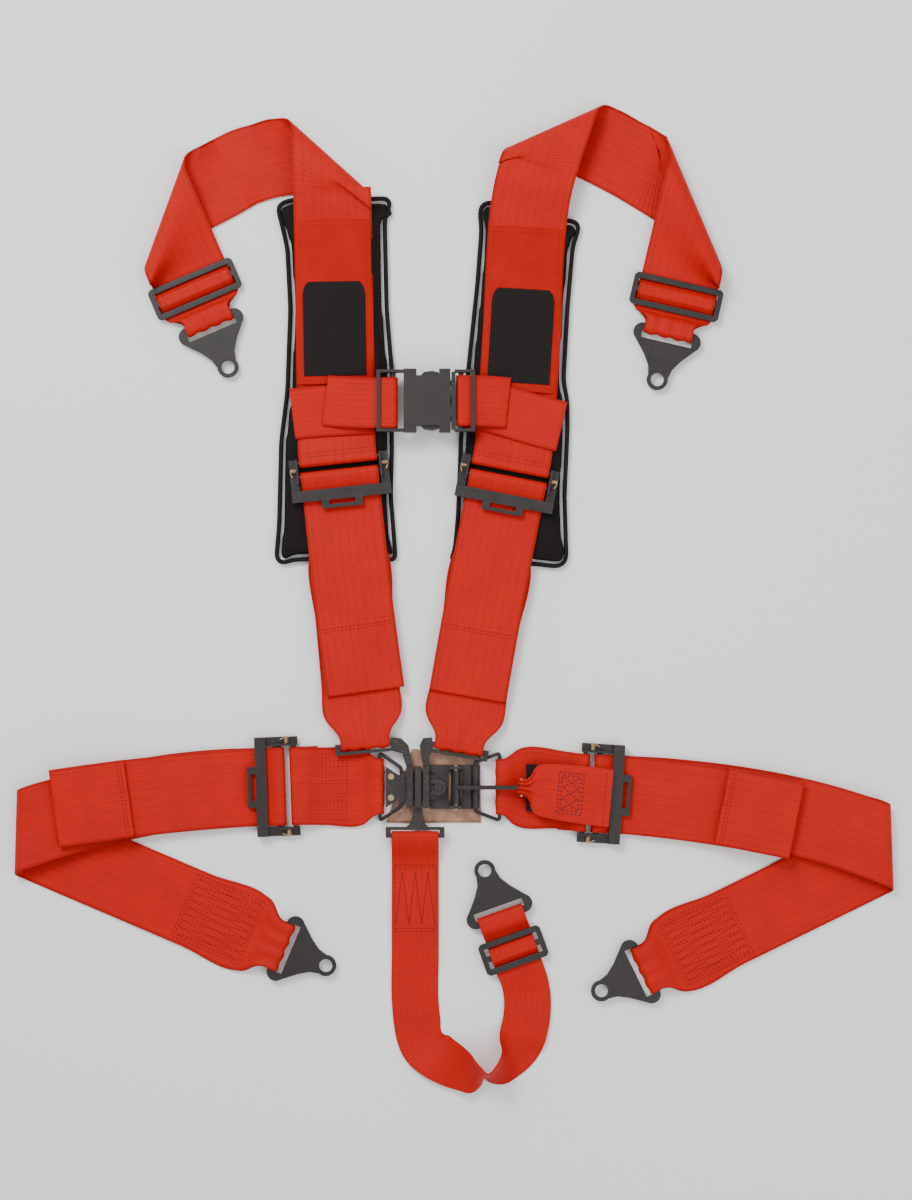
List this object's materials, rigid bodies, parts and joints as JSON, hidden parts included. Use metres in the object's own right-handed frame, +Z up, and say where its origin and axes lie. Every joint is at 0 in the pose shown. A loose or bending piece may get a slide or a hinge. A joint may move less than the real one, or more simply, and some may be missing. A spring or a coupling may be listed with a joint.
{
  "type": "racing harness",
  "caption": "Latch-and-link racing harness laid flat: shoulder belts with pads and a chest strap, lap belts, crotch belt, adjusters and bolt-in brackets.",
  "frame": {"origin": "middle of the bounding box, on the floor that the harness lies on", "axes": "+X across the belts to the right, +Y from the lap towards the shoulders, +Z up from the floor"},
  "size_m": [0.8594, 0.966, 0.046],
  "materials": {
    "red_webbing": "ribbed polyester webbing",
    "red_twill": "twill cover",
    "black_foam": "black woven cover over foam",
    "black_steel": "black powder coat",
    "black_plastic": "moulded black nylon",
    "tan_wire": "yellow-passivated spring wire",
    "bright_pin": "bright pin",
    "tan_pad": "tan backing sheet under clear film",
    "black_hook": "hook tape"
  },
  "bodies": {
    "harness": {"shoulder_strap_left": "red_webbing", "shoulder_strap_right": "red_webbing", "shoulder_pad_left": "black_foam", "shoulder_pad_right": "black_foam", "pad_sleeve_left": "red_twill", "pad_sleeve_right": "red_twill", "chest_strap_left": "red_webbing", "chest_strap_right": "red_webbing", "chest_socket": "black_plastic", "lap_adjuster_right": "black_steel", "lap_slide_bar_right": "black_steel", "lap_roll_right": "red_webbing", "lap_springs_right": "tan_wire", "shoulder_lower_strap_left": "red_webbing", "shoulder_lower_strap_right": "red_webbing", "shoulder_link_left": "black_steel", "shoulder_link_right": "black_steel", "sub_link": "black_steel", "lap_tongue": "black_steel", "tongue_rivets": "tan_wire", "lap_wire_left": "black_steel", "lap_wire_right": "black_steel", "latch_base": "black_steel", "latch_pin": "bright_pin", "latch_fork": "black_steel", "hook_patch": "black_hook", "backing_pad": "tan_pad", "lap_end_strap_left": "red_webbing", "lap_end_strap_right": "red_webbing", "lap_strap_left": "red_webbing", "lap_strap_right": "red_webbing", "sub_strap": "red_webbing", "shoulder_slider_left": "black_steel", "shoulder_slider_right": "black_steel", "sub_slider": "black_steel"},
    "shoulder_left_adjuster_unit": {"shoulder_adjuster_left": "black_steel", "shoulder_slide_bar_left": "black_steel", "shoulder_roll_left": "red_webbing", "shoulder_springs_left": "tan_wire"},
    "shoulder_right_adjuster_unit": {"shoulder_adjuster_right": "black_steel", "shoulder_slide_bar_right": "black_steel", "shoulder_roll_right": "red_webbing", "shoulder_springs_right": "tan_wire"},
    "lap_left_adjuster_unit": {"lap_adjuster_left": "black_steel", "lap_slide_bar_left": "black_steel", "lap_roll_left": "red_webbing", "lap_springs_left": "tan_wire"},
    "chest_plug_unit": {"chest_plug": "black_plastic", "chest_tail_right": "red_webbing"},
    "prong_upper": {"chest_prong_upper": "black_plastic"},
    "prong_lower": {"chest_prong_lower": "black_plastic"},
    "lever_unit": {"latch_lever": "black_steel", "pull_tab_pin": "bright_pin"},
    "pull_tab_unit": {"pull_tab": "red_webbing"},
    "shoulder_bracket_left_unit": {"shoulder_bracket_left": "black_steel"},
    "shoulder_bracket_right_unit": {"shoulder_bracket_right": "black_steel"},
    "lap_bracket_left_unit": {"lap_bracket_left": "black_steel"},
    "lap_bracket_right_unit": {"lap_bracket_right": "black_steel"},
    "sub_bracket_unit": {"sub_bracket": "black_steel"}
  },
  "joints": [
    {"name": "plug_slide", "type": "slide", "parent": "harness", "child": "chest_plug_unit", "axis": [1, 0, 0], "range_m": [0, 0.03]},
    {"name": "prong_upper_squeeze", "type": "hinge", "parent": "chest_plug_unit", "child": "prong_upper", "pos_m": [-0.00115, 0.20971, 0.0219], "axis": [0, 0, 1], "range_deg": [0, 9], "stiffness_Nm_per_rad": 0.5},
    {"name": "prong_lower_squeeze", "type": "hinge", "parent": "chest_plug_unit", "child": "prong_lower", "pos_m": [-0.00115, 0.17571, 0.0219], "axis": [0, 0, -1], "range_deg": [0, 9], "stiffness_Nm_per_rad": 0.5},
    {"name": "shoulder_left_adjuster_tilt", "type": "hinge", "parent": "harness", "child": "shoulder_left_adjuster_unit", "pos_m": [-0.11325, 0.13571, 0.015], "axis": [-0.9945, -0.1045, 0], "range_deg": [0, 35]},
    {"name": "shoulder_right_adjuster_tilt", "type": "hinge", "parent": "harness", "child": "shoulder_right_adjuster_unit", "pos_m": [0.05495, 0.12891, 0.015], "axis": [-0.9816, 0.1908, 0], "range_deg": [0, 35]},
    {"name": "lap_left_adjuster_tilt", "type": "hinge", "parent": "harness", "child": "lap_left_adjuster_unit", "pos_m": [-0.15585, -0.18299, 0.008], "axis": [-0.0349, 0.9994, 0], "range_deg": [0, 35]},
    {"name": "lever_lift", "type": "hinge", "parent": "harness", "child": "lever_unit", "pos_m": [0.00155, -0.18399, 0.013], "axis": [0, -1, 0], "range_deg": [0, 100]},
    {"name": "pull_tab_swing", "type": "hinge", "parent": "lever_unit", "child": "pull_tab_unit", "pos_m": [0.06555, -0.18399, 0.0166], "axis": [0, -1, 0], "range_deg": [0, 60]},
    {"name": "shoulder_bracket_left_swing", "type": "hinge", "parent": "harness", "child": "shoulder_bracket_left_unit", "pos_m": [-0.23993, 0.27073, 0.0062], "axis": [-0.9205, -0.3907, 0], "range_deg": [0, 60]},
    {"name": "shoulder_bracket_right_swing", "type": "hinge", "parent": "harness", "child": "shoulder_bracket_right_unit", "pos_m": [0.20948, 0.26117, 0.0062], "axis": [-0.9744, 0.225, 0], "range_deg": [0, 60]},
    {"name": "lap_bracket_left_swing", "type": "hinge", "parent": "harness", "child": "lap_bracket_left_unit", "pos_m": [-0.16979, -0.33999, 0.0062], "axis": [-0.3907, -0.9205, 0], "range_deg": [0, 60]},
    {"name": "lap_bracket_right_swing", "type": "hinge", "parent": "harness", "child": "lap_bracket_right_unit", "pos_m": [0.18725, -0.36239, 0.0062], "axis": [-0.4384, 0.8988, 0], "range_deg": [0, 60]},
    {"name": "sub_bracket_swing", "type": "hinge", "parent": "harness", "child": "sub_bracket_unit", "pos_m": [0.04612, -0.31108, 0.0062], "axis": [0.9414, 0.3374, 0], "range_deg": [0, 60]}
  ],
  "couplings": [
    {"joint": "prong_lower_squeeze", "follows": "prong_upper_squeeze", "ratio": 1}
  ]
}
